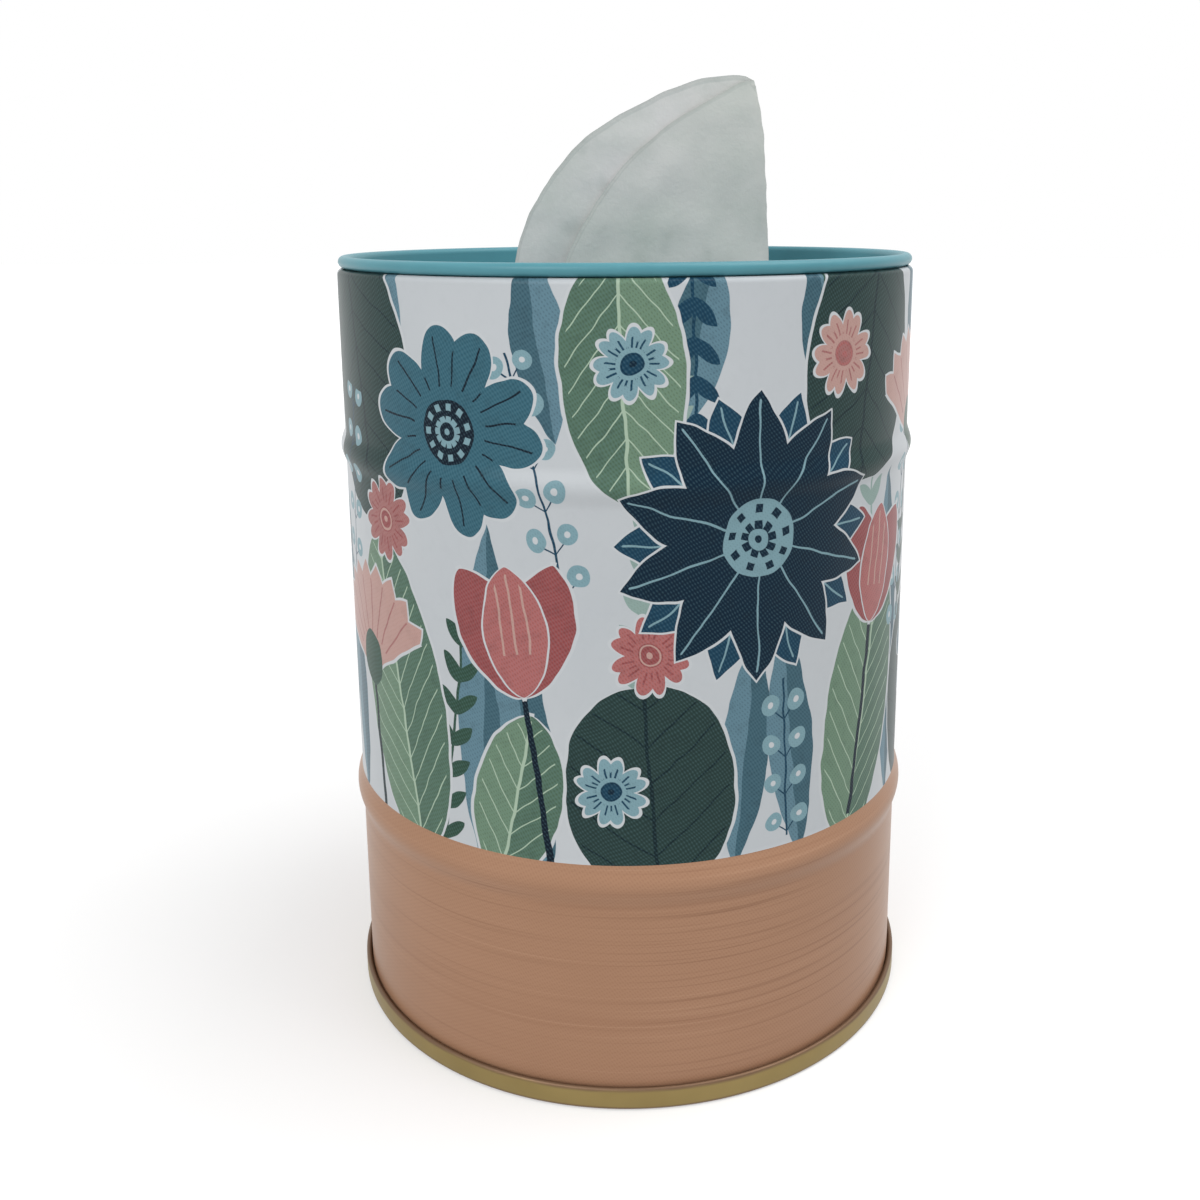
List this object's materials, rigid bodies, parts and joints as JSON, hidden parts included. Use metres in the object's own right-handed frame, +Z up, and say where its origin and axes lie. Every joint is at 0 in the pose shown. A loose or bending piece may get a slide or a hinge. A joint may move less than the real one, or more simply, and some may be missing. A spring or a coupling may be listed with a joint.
{
  "type": "printed tin canister",
  "caption": "Drum-shaped printed tin with a seamed bottom and a recessed plug lid, through whose slot folded paper tissues are drawn.",
  "frame": {"origin": "middle of the base ring's underside, where the tin stands", "axes": "+Z up along the can's axis, +X to the folded edge of the raised tissue, -Y to the front of the picture"},
  "size_m": [0.0848, 0.0848, 0.1363],
  "materials": {
    "printed_tinplate": "satin",
    "gold_lacquer": "gloss",
    "teal_enamel": "satin",
    "tissue_paper": "matte"
  },
  "bodies": {
    "tin": {"can_body": "printed_tinplate", "bottom_end": "gold_lacquer", "tissue_pack": "tissue_paper", "next_tissue": "tissue_paper"},
    "lid": {"lid": "teal_enamel"},
    "tissue": {"raised_tissue": "tissue_paper"}
  },
  "joints": [
    {"name": "lid_lift", "type": "slide", "parent": "tin", "child": "lid", "axis": [0, 0, 1], "range_m": [0, 0.066]},
    {"name": "tissue_pull", "type": "slide", "parent": "lid", "child": "tissue", "axis": [0, 0, 1], "range_m": [0, 0.067]}
  ]
}
